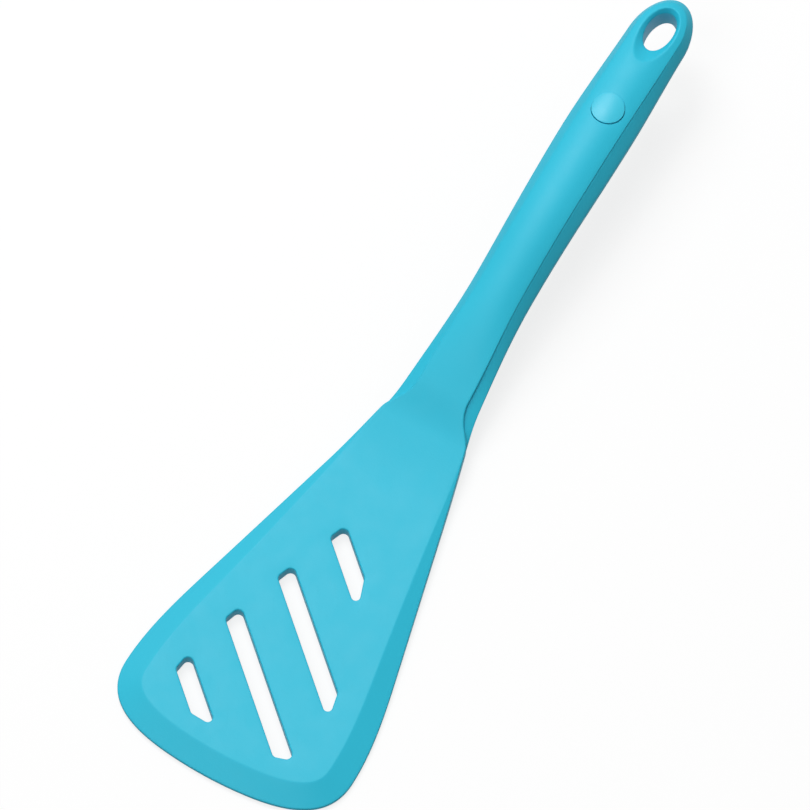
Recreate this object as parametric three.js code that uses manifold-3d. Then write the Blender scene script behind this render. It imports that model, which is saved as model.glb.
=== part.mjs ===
// Slotted silicone turner. One long silicone moulding is the blade and, up a cranked neck, the handle's
// top face. A second moulding is the handle's back, with a channel that the face is seated in. Inside
// them a steel insert stiffens the blade, and its tang is riveted to a nylon core in the handle.
import * as THREE from 'three';
import { mergeVertices } from 'three/addons/utils/BufferGeometryUtils.js';
import Module from 'manifold-3d';

const wasm = await Module();
wasm.setup();

// Driving dimensions in millimetres. X is across, Y runs from the blade's front edge to the handle's end,
// and Z is up from the blade's underside. Names that end in _Y are places along the turner, measured from
// the front edge.
const OVERALL_LENGTH = 311.8;
const CLEARANCE = 0.3;

// Blade
const BLADE_WIDTH = 87.2;
const BLADE_WIDEST_Y = 22.3;
const FRONT_EDGE_WIDTH = 30;
const FRONT_BOW = 0.79;
const CORNER_FULLNESS = 0.632;
const SHOULDER_WIDTH = 72.6;
const SHOULDER_Y = 64.5;
const NECK_WIDTH = 32.6;
const NECK_Y = 142;
const PLATE_THICKNESS = 4.7;
const RIM_THICKNESS = 1.4;
const BEVEL_WIDTH = 8.2;
const BEVEL_FADE = 1.5;

// Slots through the blade, counted from the front
const SLOT_COUNT = 4;
const SLOT_WIDTH = 6.3;
const SLOT_PITCH = 21.07;
const SLOT_ANGLE = THREE.MathUtils.degToRad(41.55);
const FIRST_SLOT_Y = 7.1;
const SLOT_FRONT_MARGIN = 15.4;
const SLOT_FRONT_BOW = 0.48;
const SLOT_SIDE_MARGIN_FRONT = 15.8;
const SLOT_SIDE_MARGIN_REAR = 24.9;
const SLOT_CORNER_RADIUS = 1.9;
const SLOT_CORNER_SHARE = 0.45;

// Rise of the plate's top face above the blade's. The handle is level at the badge and droops at its end.
const BLADE_FLAT_END_Y = 118;
const NECK_RISE = 3.2;
const THROAT_Y = 156.2;
const THROAT_RISE = 9.3;
const WAIST_Y = 195;
const WAIST_RISE = 22.6;
const PALM_RISE = 29.4;
const HANDLE_RISE = 32;
const END_ROUND_RISE = 31.7;
const END_RISE = 29.6;
const END_SLOPE = -0.3;

// Top face of the handle
const FACE_THROAT_WIDTH = 18.8;
const FACE_THROAT_FULLNESS = 0.53;
const FACE_WAIST_WIDTH = 15.6;
const FACE_END_WIDTH = 16.8;
const FACE_END_INSET = 2.4;
const CROWN_HEIGHT = 2.3;
const CROWN_FULL_Y = 200;

// Handle outline and depth, below the top face
const NECK_TO_BACK = 3.5;
const BACK_START_DEPTH = 5.6;
const HANDLE_THROAT_WIDTH = 27;
const HANDLE_THROAT_DEPTH = 7.4;
const HANDLE_WAIST_WIDTH = 21.5;
const HANDLE_WAIST_DEPTH = 13.6;
const HANDLE_PALM_WIDTH = 23.6;
const HANDLE_PALM_TO_BADGE = 7;
const HANDLE_PALM_DEPTH = 15;
const HANDLE_END_WIDTH = 21.2;
const HANDLE_END_TAPER = 0.02;
const HANDLE_END_DEPTH = 13.2;
const HANDLE_END_ROUND = 16.5;
const FLANK_STEP_NECK = 1.5;
const FLANK_STEP_HANDLE = 0.4;
const FLANK_STEP_END = 0.2;
const FLANK_FADE_FROM_BADGE = 12;
const FLANK_FULLNESS = 0.88;
const BACK_ROUNDNESS = 2.8;
const END_DEPTH_SHARE = 0.4;

// Hanging hole
const HOLE_WIDTH = 9.4;
const HOLE_LENGTH = 15.8;
const HOLE_END_WALL = 6.35;
const DISH_DEPTH = 2.7;
const DISH_SIDE = 2.3;
const DISH_FRONT = 5.7;
const DISH_END = 2.6;

// Badge disc in the handle's face
const BADGE_DIAMETER = 11.2;
const BADGE_TO_END = 48.6;
const BADGE_DEPTH = 1.3;
const BADGE_PROUD = 0.25;
const BADGE_DOME = 0.25;
const DOME_STEPS = [[1, 0], [0.75, 0.45], [0.4, 0.85], [0, 1]];

// Steel insert, its tang, the core and the rivets
const INSERT_THICKNESS = 0.8;
const INSERT_COVER = 2.6;
const INSERT_MARGIN = 11;
const INSERT_SLOT_WALL = 2;
const TANG_WIDTH = 9;
const TANG_END_Y = 214;
const CORE_WIDTH = 10;
const CORE_START_Y = 164;
const CORE_BACK_WALL = 3;
const CORE_HOLE_WALL = 5;
const CORE_CHAMFER = 1;
const GROOVE_START_Y = 151;
const RIVET_FRONT_Y = 180;
const RIVET_SPACING = 22;
const RIVET_DIAMETER = 3.2;
const RIVET_HEAD_DIAMETER = 6;
const RIVET_HEAD_TOP_DIAMETER = 4.8;
const RIVET_HEAD_HEIGHT = 0.9;
const RIVET_TAIL_DIAMETER = 5;
const RIVET_TAIL_HEIGHT = 0.9;

// The flat spot on the blade's underside that is the part's origin, between the second and third slots
const ORIGIN_Y = 50;

// Facet sizes
const FACET_LENGTH = 7;
const ROUND_SIDES = 32;
const BLADE_EDGE_STEPS = [4, 9, 5];
const THROAT_STEPS = 6;
const FACE_END_STEPS = 7;
const CROWN_SHARES = [1, 0.7, 0.35, 0, -0.35, -0.7, -1];
const FLANK_SHARES = [0, 0.3, 0.6, 0.85];
const BACK_SHARES = [0, 0.2, 0.4, 0.65, 1];
const END_SHARES = [0.25, 0.45, 0.62, 0.77, 0.9, 1];
const SLOT_CORNER_STEPS = 5;
const HALVINGS = 40;
const WELD_DISTANCE = 1e-5;

// A smooth function through [place, value] knots that doesn't overshoot them.
function smoothThrough(knots, startSlope = 0, endSlope = 0) {
  const slopes = knots.map((knot, i) => {
    if (i === 0) return startSlope;
    if (i === knots.length - 1) return endSlope;
    const before = (knot[1] - knots[i - 1][1]) / (knot[0] - knots[i - 1][0]);
    const after = (knots[i + 1][1] - knot[1]) / (knots[i + 1][0] - knot[0]);
    return before * after > 0 ? (2 * before * after) / (before + after) : 0;
  });
  return (place) => {
    if (place <= knots[0][0]) return knots[0][1] + startSlope * (place - knots[0][0]);
    const last = knots.length - 1;
    if (place >= knots[last][0]) return knots[last][1] + endSlope * (place - knots[last][0]);
    const i = knots.findIndex((knot) => place < knot[0]) - 1;
    const span = knots[i + 1][0] - knots[i][0];
    const t = (place - knots[i][0]) / span;
    const rest = 1 - t;
    const values = rest * rest * (1 + 2 * t) * knots[i][1] + t * t * (3 - 2 * t) * knots[i + 1][1];
    return values + span * (t * rest * rest * slopes[i] - t * t * rest * slopes[i + 1]);
  };
}

// Profile along the turner
const sideTaper = (SHOULDER_WIDTH - NECK_WIDTH) / 2 / (NECK_Y - SHOULDER_Y);
const endRoundY = OVERALL_LENGTH - HANDLE_END_ROUND;
const faceEndY = OVERALL_LENGTH - FACE_END_INSET;
const badgeY = OVERALL_LENGTH - BADGE_TO_END;
const palmY = (WAIST_Y + badgeY) / 2;
const backStartY = NECK_Y + NECK_TO_BACK;
const backStartHalf = NECK_WIDTH / 2 - NECK_TO_BACK * sideTaper;

const topHeight = smoothThrough([
  [BLADE_FLAT_END_Y, PLATE_THICKNESS],
  [NECK_Y, PLATE_THICKNESS + NECK_RISE],
  [THROAT_Y, PLATE_THICKNESS + THROAT_RISE],
  [WAIST_Y, PLATE_THICKNESS + WAIST_RISE],
  [palmY, PLATE_THICKNESS + PALM_RISE],
  [badgeY, PLATE_THICKNESS + HANDLE_RISE],
  [endRoundY, PLATE_THICKNESS + END_ROUND_RISE],
  [OVERALL_LENGTH, PLATE_THICKNESS + END_RISE],
], 0, END_SLOPE);
const crown = smoothThrough([[NECK_Y, 0], [CROWN_FULL_Y, CROWN_HEIGHT]]);
const faceHalfWidth = smoothThrough([
  [THROAT_Y, FACE_THROAT_WIDTH / 2],
  [WAIST_Y, FACE_WAIST_WIDTH / 2],
  [endRoundY, FACE_END_WIDTH / 2],
]);
const handleHalfWidth = smoothThrough([
  [backStartY, backStartHalf],
  [THROAT_Y, HANDLE_THROAT_WIDTH / 2],
  [WAIST_Y, HANDLE_WAIST_WIDTH / 2],
  [badgeY - HANDLE_PALM_TO_BADGE, HANDLE_PALM_WIDTH / 2],
  [endRoundY, HANDLE_END_WIDTH / 2],
], -sideTaper, -HANDLE_END_TAPER);
const handleDepth = smoothThrough([
  [backStartY, BACK_START_DEPTH],
  [THROAT_Y, HANDLE_THROAT_DEPTH],
  [WAIST_Y, HANDLE_WAIST_DEPTH],
  [badgeY - HANDLE_PALM_TO_BADGE, HANDLE_PALM_DEPTH],
  [endRoundY, HANDLE_END_DEPTH],
]);
const flankStep = smoothThrough([
  [backStartY, FLANK_STEP_NECK],
  [WAIST_Y, FLANK_STEP_HANDLE],
  [badgeY + FLANK_FADE_FROM_BADGE, FLANK_STEP_HANDLE],
  [endRoundY, FLANK_STEP_END],
]);

// Height of the top face, which is flat across the blade, crowned across the handle and rounded off at
// the handle's end.
function faceHeight(x, y) {
  const across = x / faceHalfWidth(y);
  const intoEnd = Math.max(0, (y - endRoundY) / (faceEndY - endRoundY));
  return topHeight(y) - crown(y) * Math.min(1, across * across + intoEnd * intoEnd);
}

// Places along the handle, about a facet's length apart.
function placesAlong(start, end) {
  const count = Math.max(2, Math.round((end - start) / FACET_LENGTH));
  return Array.from({ length: count + 1 }, (_, i) => start + ((end - start) * i) / count);
}

// Right-hand edge of the blade, from the middle of the front to the neck.
function bladeEdge() {
  const half = BLADE_WIDTH / 2;
  const frontHalf = FRONT_EDGE_WIDTH / 2;
  const frontSlope = (2 * FRONT_BOW) / frontHalf;
  const edge = new THREE.Path();
  edge.moveTo(0, 0);
  edge.quadraticCurveTo(frontHalf / 2, 0, frontHalf, FRONT_BOW);
  const cornerReach = CORNER_FULLNESS * (half - frontHalf);
  const cornerRise = CORNER_FULLNESS * (BLADE_WIDEST_Y - FRONT_BOW);
  edge.bezierCurveTo(
    frontHalf + cornerReach, FRONT_BOW + cornerReach * frontSlope,
    half, BLADE_WIDEST_Y - cornerRise,
    half, BLADE_WIDEST_Y,
  );
  const sideReach = (SHOULDER_Y - BLADE_WIDEST_Y) / 3;
  const shoulderHalf = SHOULDER_WIDTH / 2;
  edge.bezierCurveTo(
    half, BLADE_WIDEST_Y + sideReach,
    shoulderHalf + sideReach * sideTaper, SHOULDER_Y - sideReach,
    shoulderHalf, SHOULDER_Y,
  );
  edge.lineTo(NECK_WIDTH / 2, NECK_Y);
  const divisions = [...BLADE_EDGE_STEPS, placesAlong(SHOULDER_Y, NECK_Y).length - 1];
  return edge.curves.flatMap((curve, i) => curve.getPoints(divisions[i]).slice(i ? 1 : 0));
}

// Right-hand edge of the handle's face, from the neck to the rounded end.
function faceEdge() {
  const neckHalf = NECK_WIDTH / 2;
  const throatHalf = faceHalfWidth(THROAT_Y);
  const length = THROAT_Y - NECK_Y;
  const throat = new THREE.CubicBezierCurve(
    new THREE.Vector2(neckHalf, NECK_Y),
    new THREE.Vector2(neckHalf - (length / 3) * sideTaper, NECK_Y + length / 3),
    new THREE.Vector2(throatHalf, THROAT_Y - FACE_THROAT_FULLNESS * length),
    new THREE.Vector2(throatHalf, THROAT_Y),
  );
  const along = placesAlong(THROAT_Y, endRoundY).map((y) => new THREE.Vector2(faceHalfWidth(y), y));
  const endHalf = faceHalfWidth(endRoundY);
  const end = new THREE.EllipseCurve(0, endRoundY, endHalf, faceEndY - endRoundY, 0, Math.PI / 2);
  const edge = [
    ...throat.getPoints(THROAT_STEPS).slice(1),
    ...along.slice(1),
    ...end.getPoints(FACE_END_STEPS).slice(1),
  ];
  edge[edge.length - 1].x = 0;
  return edge;
}

// Moves the points of a right-hand edge inwards, each by its own distance along the edge's normal.
function inset(edge, distance) {
  const beyond = (point, next) => (point.x > 0 ? point : new THREE.Vector2(-next.x, next.y));
  return edge.map((point, i) => {
    const ahead = edge[i + 1] ?? beyond(point, edge[i - 1]);
    const behind = edge[i - 1] ?? beyond(point, edge[1]);
    const along = ahead.clone().sub(behind).normalize();
    const moved = point.clone().addScaledVector(new THREE.Vector2(-along.y, along.x), distance(point));
    moved.x = Math.max(0, moved.x);
    return moved;
  });
}

// Closed surface through rows of points. Each row is a closed loop, or shrinks to a point or a line.
function loft(rows) {
  const size = rows[0].length;
  const positions = rows.flat().flatMap((point) => [point.x, point.y, point.z]);
  const index = [];
  for (let row = 0; row + 1 < rows.length; row += 1) {
    for (let i = 0; i < size; i += 1) {
      const a = row * size + i;
      const b = row * size + ((i + 1) % size);
      index.push(a, b + size, b, a, a + size, b + size);
    }
  }
  const middle = Array.from({ length: size - 2 }, (_, i) => i + 1);
  middle.forEach((i) => index.push(0, i, i + 1));
  const last = (rows.length - 1) * size;
  middle.forEach((i) => index.push(last, last + i + 1, last + i));
  const geometry = new THREE.BufferGeometry();
  geometry.setAttribute('position', new THREE.Float32BufferAttribute(positions, 3));
  geometry.setIndex(index);
  return geometry;
}

// Solid from a closed geometry, for cuts.
function solidFrom(geometry) {
  const plain = geometry.clone();
  plain.deleteAttribute('normal');
  plain.deleteAttribute('uv');
  const merged = mergeVertices(plain, WELD_DISTANCE);
  const corners = merged.index.array;
  const triangles = [];
  for (let i = 0; i < corners.length; i += 3) {
    const [a, b, c] = [corners[i], corners[i + 1], corners[i + 2]];
    if (a !== b && b !== c && c !== a) triangles.push(a, b, c);
  }
  return new wasm.Manifold(new wasm.Mesh({
    numProp: 3,
    vertProperties: new Float32Array(merged.attributes.position.array),
    triVerts: new Uint32Array(triangles),
  }));
}

// Geometry from a solid.
function geometryFrom(solid) {
  const mesh = solid.getMesh();
  const geometry = new THREE.BufferGeometry();
  geometry.setAttribute('position', new THREE.BufferAttribute(mesh.vertProperties, 3));
  geometry.setIndex(new THREE.BufferAttribute(mesh.triVerts, 1));
  geometry.computeVertexNormals();
  return geometry;
}

// Level ring of points round a centre.
function ellipseRing(y, z, halfWidth, halfLength) {
  return Array.from({ length: ROUND_SIDES }, (_, i) => {
    const angle = (-2 * Math.PI * i) / ROUND_SIDES;
    return new THREE.Vector3(halfWidth * Math.cos(angle), y + halfLength * Math.sin(angle), z);
  });
}

// Rectangular bar that follows the plate: half its width, and its top and bottom as heights at a place.
function barRow(halfWidth, y, bottom, top) {
  return [
    new THREE.Vector3(halfWidth, y, top),
    new THREE.Vector3(-halfWidth, y, top),
    new THREE.Vector3(-halfWidth, y, bottom),
    new THREE.Vector3(halfWidth, y, bottom),
  ];
}

// Blade and handle face before its cuts: a plate of one thickness, bevelled round the blade and crowned
// on the handle.
function plateBody() {
  const bevelSlope = (PLATE_THICKNESS - RIM_THICKNESS) / BEVEL_WIDTH;
  const bevelWidth = (point) => {
    const share = THREE.MathUtils.clamp((point.y - BLADE_WIDEST_Y) / (NECK_Y - BLADE_WIDEST_Y), 0, 1);
    return BEVEL_WIDTH * (1 - share ** BEVEL_FADE);
  };
  const edge = [...bladeEdge(), ...faceEdge()];
  const inner = inset(edge, bevelWidth);
  const rows = edge.map((rim, i) => {
    const rimTop = faceHeight(rim.x, rim.y) - bevelWidth(rim) * bevelSlope;
    const bottom = topHeight(rim.y) - PLATE_THICKNESS;
    const top = CROWN_SHARES.map((share) => {
      const x = share * inner[i].x;
      return new THREE.Vector3(x, inner[i].y, faceHeight(x, inner[i].y));
    });
    return [
      new THREE.Vector3(rim.x, rim.y, bottom),
      new THREE.Vector3(rim.x, rim.y, rimTop),
      ...top,
      new THREE.Vector3(-rim.x, rim.y, rimTop),
      new THREE.Vector3(-rim.x, rim.y, bottom),
    ];
  });
  return solidFrom(loft(rows));
}

// Share of the handle's half width that is left at a place in its rounded end.
function endShare(y) {
  const into = THREE.MathUtils.clamp((y - endRoundY) / HANDLE_END_ROUND, 0, 1);
  return Math.sqrt(1 - into * into);
}

// Flanks and underside of the handle as one full body, before its channel and pocket are cut.
function backBody() {
  const quarterTurn = Math.PI / 2;
  const places = [
    ...placesAlong(backStartY, THROAT_Y).slice(0, -1),
    ...placesAlong(THROAT_Y, endRoundY),
    ...END_SHARES.map((turn) => endRoundY + HANDLE_END_ROUND * Math.sin(turn * quarterTurn)),
  ];
  const rows = places.map((y) => {
    const share = endShare(y);
    const half = handleHalfWidth(y) * share;
    const depth = handleDepth(y);
    const widest = topHeight(Math.min(y, endRoundY)) - depth / 2;
    const below = (depth / 2) * (END_DEPTH_SHARE + (1 - END_DEPTH_SHARE) * share);
    const flankTop = topHeight(y) - crown(y) - flankStep(y);
    const flankHalf = Math.min(half, faceHalfAt(y) * share);
    const flank = new THREE.QuadraticBezierCurve(
      new THREE.Vector2(flankHalf, flankTop),
      new THREE.Vector2(half, THREE.MathUtils.lerp(flankTop, widest, FLANK_FULLNESS)),
      new THREE.Vector2(half, widest),
    );
    const power = 2 / BACK_ROUNDNESS;
    const right = [
      ...FLANK_SHARES.map((t) => flank.getPoint(t)),
      ...BACK_SHARES.map((turn) => new THREE.Vector2(
        half * Math.cos(turn * quarterTurn) ** power,
        widest - below * Math.sin(turn * quarterTurn) ** power,
      )),
    ];
    right[right.length - 1].x = 0;
    const left = right.slice(0, -1).reverse().map((point) => new THREE.Vector2(-point.x, point.y));
    return [...right, ...left].map((point) => new THREE.Vector3(point.x, y, point.y)).reverse();
  });
  return solidFrom(loft(rows));
}

// Half width of the face's edge anywhere on the handle, the flared throat included.
function faceHalfAt(y) {
  if (y >= THROAT_Y) return faceHalfWidth(y);
  const edge = faceEdge();
  const i = edge.findIndex((point) => point.y >= y);
  const start = i > 0 ? edge[i - 1] : new THREE.Vector2(NECK_WIDTH / 2, NECK_Y);
  const t = (y - start.y) / (edge[i].y - start.y);
  return THREE.MathUtils.lerp(start.x, edge[i].x, t);
}

// Room for the face and its clearance, cut down into the handle's back.
function faceChannel() {
  const start = new THREE.Vector2(NECK_WIDTH / 2, NECK_Y);
  const edge = inset([start, ...faceEdge()], () => -CLEARANCE).slice(1);
  const over = 2 * HANDLE_RISE;
  const rows = edge.map((point, i) => {
    const y = i === edge.length - 1 ? faceEndY + CLEARANCE : point.y;
    const x = i === edge.length - 1 ? 0 : point.x;
    return barRow(x, y, topHeight(y) - PLATE_THICKNESS - CLEARANCE, topHeight(y) + over);
  });
  const first = rows[0].map((point) => point.clone().setY(NECK_Y));
  return solidFrom(loft([first, ...rows]));
}

// Rounded slot outlines, each grown outwards by a distance, as one solid that passes through the blade.
function slotCuts(grow) {
  const along = new THREE.Vector2(Math.cos(SLOT_ANGLE), -Math.sin(SLOT_ANGLE));
  const edge = bladeEdge();
  const halfAt = (y) => {
    const i = edge.findIndex((point) => point.y >= y && point.y > BLADE_WIDEST_Y);
    const t = THREE.MathUtils.clamp((y - edge[i - 1].y) / (edge[i].y - edge[i - 1].y), 0, 1);
    return THREE.MathUtils.lerp(edge[i - 1].x, edge[i].x, t);
  };
  const rearY = FIRST_SLOT_Y + (SLOT_COUNT * SLOT_PITCH) / Math.cos(SLOT_ANGLE);
  const inField = (point) => {
    const share = (point.y / rearY) ** 2;
    const side = THREE.MathUtils.lerp(SLOT_SIDE_MARGIN_FRONT, SLOT_SIDE_MARGIN_REAR, share);
    const bow = SLOT_FRONT_BOW * ((2 * point.x) / FRONT_EDGE_WIDTH) ** 4;
    return Math.abs(point.x) < halfAt(point.y) - side && point.y > SLOT_FRONT_MARGIN + bow;
  };
  const reach = (from, direction) => {
    let near = 0;
    let far = BLADE_WIDTH;
    for (let step = 0; step < HALVINGS; step += 1) {
      const half = (near + far) / 2;
      if (inField(from.clone().addScaledVector(direction, half))) near = half;
      else far = half;
    }
    return from.clone().addScaledVector(direction, near);
  };
  const back = along.clone().negate();
  const cuts = Array.from({ length: SLOT_COUNT }, (_, i) => {
    const offset = FIRST_SLOT_Y * Math.cos(SLOT_ANGLE) + i * SLOT_PITCH;
    const corners = [];
    for (const side of [1, -1]) {
      const level = offset + (side * SLOT_WIDTH) / 2;
      const from = new THREE.Vector2(0, level / Math.cos(SLOT_ANGLE));
      const shortBy = SLOT_FRONT_MARGIN + SLOT_WIDTH - from.y;
      from.addScaledVector(back, Math.max(0, shortBy / Math.sin(SLOT_ANGLE)));
      const ends = [reach(from, back), reach(from, along)];
      corners.push(...(side > 0 ? ends : ends.reverse()));
    }
    return extrudedSlot(growPolygon(corners, grow), SLOT_CORNER_RADIUS + grow);
  });
  return cuts.reduce((all, cut) => all.add(cut));
}

// Moves each side of a convex polygon, given clockwise, outwards by a distance.
function growPolygon(points, distance) {
  const sides = points.map((point, i) => {
    const direction = points[(i + 1) % points.length].clone().sub(point).normalize();
    const outwards = new THREE.Vector2(-direction.y, direction.x);
    return { start: point.clone().addScaledVector(outwards, distance), direction };
  });
  return sides.map((side, i) => {
    const before = sides[(i + sides.length - 1) % sides.length];
    const gap = side.start.clone().sub(before.start);
    const reach = gap.cross(side.direction) / before.direction.cross(side.direction);
    return before.start.clone().addScaledVector(before.direction, reach);
  });
}

// Prism with a rounded outline, from under the blade to above it. The points are given clockwise.
function extrudedSlot(points, radius) {
  const outline = points.flatMap((point, i) => {
    const before = points[(i + points.length - 1) % points.length].clone().sub(point);
    const after = points[(i + 1) % points.length].clone().sub(point);
    const halfAngle = Math.abs(before.angleTo(after)) / 2;
    const room = SLOT_CORNER_SHARE * Math.min(before.length(), after.length()) * Math.tan(halfAngle);
    const round = Math.min(radius, room);
    const inwards = before.normalize().add(after.normalize()).normalize();
    const centre = point.clone().addScaledVector(inwards, round / Math.sin(halfAngle));
    const middle = inwards.angle() + Math.PI;
    const sweep = Math.PI / 2 - halfAngle;
    const arc = new THREE.ArcCurve(centre.x, centre.y, round, middle + sweep, middle - sweep, true);
    return arc.getPoints(SLOT_CORNER_STEPS);
  });
  const prism = new THREE.ExtrudeGeometry(new THREE.Shape(outline), {
    depth: 3 * PLATE_THICKNESS, bevelEnabled: false,
  });
  prism.translate(0, 0, -PLATE_THICKNESS);
  return solidFrom(prism);
}

// Insert and tang before their holes, grown by a clearance for the room that the silicone leaves them.
function insertBody(grow) {
  const halfTang = TANG_WIDTH / 2 + grow;
  const edge = inset(bladeEdge(), () => INSERT_MARGIN - grow);
  const plate = edge.filter((point, i) => i === 0 || (point.x > halfTang && point.y < NECK_Y));
  const tangStart = plate[plate.length - 1].y + (plate[plate.length - 1].x - halfTang) / sideTaper;
  const tang = placesAlong(tangStart, TANG_END_Y + grow).map((y) => new THREE.Vector2(halfTang, y));
  const rows = [...plate, ...tang].map((point) => {
    const top = topHeight(point.y) - INSERT_COVER;
    return barRow(point.x, point.y, top - INSERT_THICKNESS - grow, top + grow);
  });
  return solidFrom(loft(rows));
}

// Places of the core, and its top and bottom there.
const holeY = OVERALL_LENGTH - HOLE_END_WALL - HOLE_LENGTH / 2;
const coreEndY = holeY - HOLE_LENGTH / 2 - CORE_HOLE_WALL;
const coreTop = (y) => topHeight(y) - INSERT_COVER;
const coreBottom = (y) => topHeight(y) - handleDepth(y) + CORE_BACK_WALL;

// Nylon core before its cuts: a bar with chamfered lower edges.
function coreBody() {
  const half = CORE_WIDTH / 2;
  const rows = placesAlong(CORE_START_Y, coreEndY).map((y) => [
    new THREE.Vector3(half, y, coreTop(y)),
    new THREE.Vector3(-half, y, coreTop(y)),
    new THREE.Vector3(-half, y, coreBottom(y) + CORE_CHAMFER),
    new THREE.Vector3(-half + CORE_CHAMFER, y, coreBottom(y)),
    new THREE.Vector3(half - CORE_CHAMFER, y, coreBottom(y)),
    new THREE.Vector3(half, y, coreBottom(y) + CORE_CHAMFER),
  ]);
  return solidFrom(loft(rows));
}

// Straight-sided room along the handle, between two heights.
function barRoom(halfWidth, start, end, bottom, top) {
  return solidFrom(loft(placesAlong(start, end).map((y) => barRow(halfWidth, y, bottom(y), top(y)))));
}

// Room for the core in the handle's back, open to the channel above it.
function corePocket() {
  return barRoom(
    CORE_WIDTH / 2 + CLEARANCE, CORE_START_Y - CLEARANCE, coreEndY + CLEARANCE,
    (y) => coreBottom(y) - CLEARANCE,
    (y) => topHeight(y),
  );
}

// Groove under the handle's face for the tang and the top of the core.
function coreGroove() {
  return barRoom(
    CORE_WIDTH / 2 + CLEARANCE, GROOVE_START_Y, coreEndY + CLEARANCE,
    (y) => topHeight(y) - 2 * PLATE_THICKNESS,
    (y) => coreTop(y) + CLEARANCE,
  );
}

// Seat for the tang in the top of the core.
function tangSeat() {
  return barRoom(
    CORE_WIDTH, CORE_START_Y - PLATE_THICKNESS, TANG_END_Y + CLEARANCE,
    (y) => coreTop(y) - INSERT_THICKNESS - CLEARANCE,
    (y) => topHeight(y),
  );
}

// Hanging hole with its dished rim, which slopes mostly towards the blade.
function hangingHole() {
  const top = topHeight(holeY);
  const dishY = holeY + (DISH_END - DISH_FRONT) / 2;
  const dishHalfLength = (HOLE_LENGTH + DISH_END + DISH_FRONT) / 2;
  const rims = [
    ellipseRing(holeY, top - 2 * HANDLE_PALM_DEPTH, HOLE_WIDTH / 2, HOLE_LENGTH / 2),
    ellipseRing(holeY, top - DISH_DEPTH, HOLE_WIDTH / 2, HOLE_LENGTH / 2),
    ellipseRing(dishY, top, HOLE_WIDTH / 2 + DISH_SIDE, dishHalfLength),
    ellipseRing(dishY, top + DISH_DEPTH, HOLE_WIDTH / 2 + DISH_SIDE, dishHalfLength),
  ];
  return solidFrom(loft(rims));
}

// Disc that follows the crowned face, from a depth below it to a height above it, domed in the middle.
function faceDisc(radius, below, above, dome) {
  const ring = (share, lift) => ellipseRing(badgeY, 0, radius * share, radius * share).map(
    (point) => point.setZ(faceHeight(point.x, point.y) + lift),
  );
  const floor = [0, 0.5, 1].map((share) => ring(share, -below));
  const top = DOME_STEPS.map(([share, lift]) => ring(share, above + dome * lift));
  return solidFrom(loft([...floor, ...top]));
}

// Rivets, each square to the tang where it stands. The local origin is on top of the tang, with Z out of
// the face.
const rivetPlaces = [RIVET_FRONT_Y, RIVET_FRONT_Y + RIVET_SPACING];

function rivetFrame(y) {
  const step = 0.5;
  const slope = Math.atan((topHeight(y + step) - topHeight(y - step)) / (2 * step));
  const grip = (coreTop(y) - coreBottom(y)) * Math.cos(slope) - RIVET_TAIL_HEIGHT - 2 * CLEARANCE;
  return { position: new THREE.Vector3(0, y, coreTop(y)), slope, grip };
}

function turned(profile) {
  const geometry = new THREE.LatheGeometry(profile.map(([r, z]) => new THREE.Vector2(r, z)), ROUND_SIDES);
  return geometry.rotateX(Math.PI / 2);
}

function rivetProfile(grip) {
  const shank = RIVET_DIAMETER / 2;
  const head = RIVET_HEAD_DIAMETER / 2;
  const tail = RIVET_TAIL_DIAMETER / 2;
  return [
    [0, -grip - RIVET_TAIL_HEIGHT], [tail, -grip - RIVET_TAIL_HEIGHT], [tail, -grip], [shank, -grip],
    [shank, CLEARANCE], [head, CLEARANCE], [RIVET_HEAD_TOP_DIAMETER / 2, CLEARANCE + RIVET_HEAD_HEIGHT],
    [0, CLEARANCE + RIVET_HEAD_HEIGHT],
  ];
}

// Room for a rivet: its shank's hole, and the wider rooms for its head and its tail.
function rivetRoom(frame) {
  const shank = RIVET_DIAMETER / 2 + CLEARANCE;
  const head = RIVET_HEAD_DIAMETER / 2 + CLEARANCE;
  const tail = RIVET_TAIL_DIAMETER / 2 + CLEARANCE;
  const room = turned([
    [0, -frame.grip - 4 * RIVET_TAIL_HEIGHT], [tail, -frame.grip - 4 * RIVET_TAIL_HEIGHT],
    [tail, -frame.grip + CLEARANCE], [shank, -frame.grip + CLEARANCE], [shank, 0], [head, 0],
    [head, RIVET_HEAD_HEIGHT + 2 * CLEARANCE], [0, RIVET_HEAD_HEIGHT + 2 * CLEARANCE],
  ]);
  room.rotateX(frame.slope);
  room.translate(frame.position.x, frame.position.y, frame.position.z);
  return solidFrom(room);
}

// Materials
const silicone = () => new THREE.MeshStandardMaterial({ color: 0x50c8e1, roughness: 0.55, metalness: 0 });
const disc = () => new THREE.MeshStandardMaterial({ color: 0x5fd2e8, roughness: 0.3, metalness: 0 });
const steel = () => new THREE.MeshStandardMaterial({ color: 0xb4b8bb, roughness: 0.35, metalness: 1 });
const nylon = () => new THREE.MeshStandardMaterial({ color: 0x3a3f42, roughness: 0.6, metalness: 0 });

const spatula = new THREE.Group();
spatula.position.y = -ORIGIN_Y;

function addPiece(name, geometry, material, parent = spatula) {
  const mesh = new THREE.Mesh(geometry, material);
  mesh.name = name;
  parent.add(mesh);
  return mesh;
}

const rivetFrames = rivetPlaces.map(rivetFrame);
const rivetRooms = rivetFrames.map(rivetRoom).reduce((all, room) => all.add(room));
const hole = hangingHole();

const insertRoom = insertBody(CLEARANCE).subtract(slotCuts(INSERT_SLOT_WALL - CLEARANCE));
const face = plateBody()
  .subtract(slotCuts(0))
  .subtract(insertRoom)
  .subtract(coreGroove())
  .subtract(rivetRooms)
  .subtract(faceDisc(BADGE_DIAMETER / 2 + CLEARANCE, BADGE_DEPTH + CLEARANCE, 2 * BADGE_DEPTH, 0))
  .subtract(hole);
addPiece('blade_and_handle_face', geometryFrom(face), silicone());

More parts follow.
